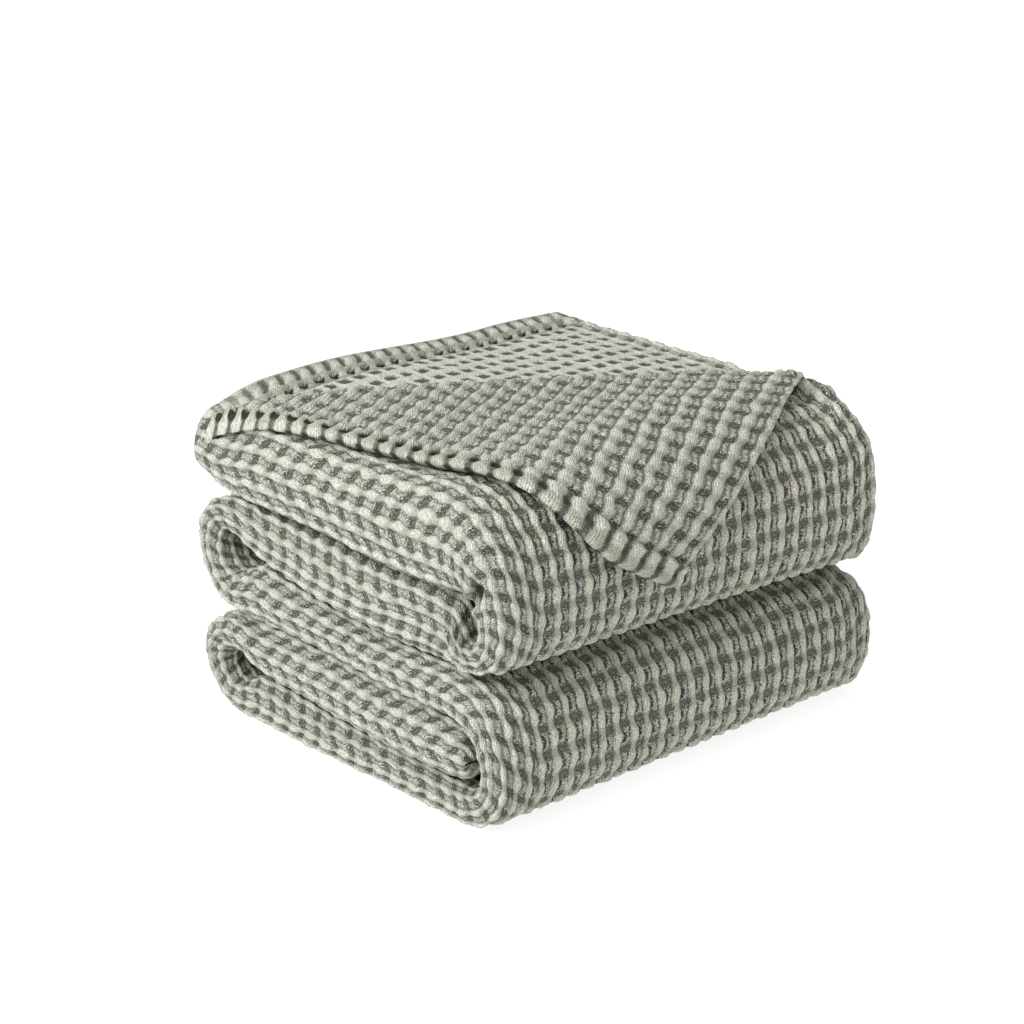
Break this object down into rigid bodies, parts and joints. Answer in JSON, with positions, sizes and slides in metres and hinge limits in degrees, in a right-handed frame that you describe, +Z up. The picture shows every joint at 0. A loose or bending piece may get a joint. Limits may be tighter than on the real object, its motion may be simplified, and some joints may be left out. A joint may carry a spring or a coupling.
{
  "type": "folded waffle weave cotton blanket",
  "caption": "Waffle weave cotton blanket, folded to a strip and laid back and forth in thick runs, with the corner of its top ply turned over and hanging over the front roll.",
  "frame": {"origin": "middle of the bounding box, on the surface that the folded blanket rests on", "axes": "+X along the rolls, +Y from the front rolls to the back lobes, +Z up"},
  "size_m": [0.3112, 0.2868, 0.2037],
  "materials": {
    "waffle_cotton": "matt waffle weave in cream and sage green cotton"
  },
  "bodies": {
    "root": {"blanket": "waffle_cotton"}
  },
  "joints": []
}
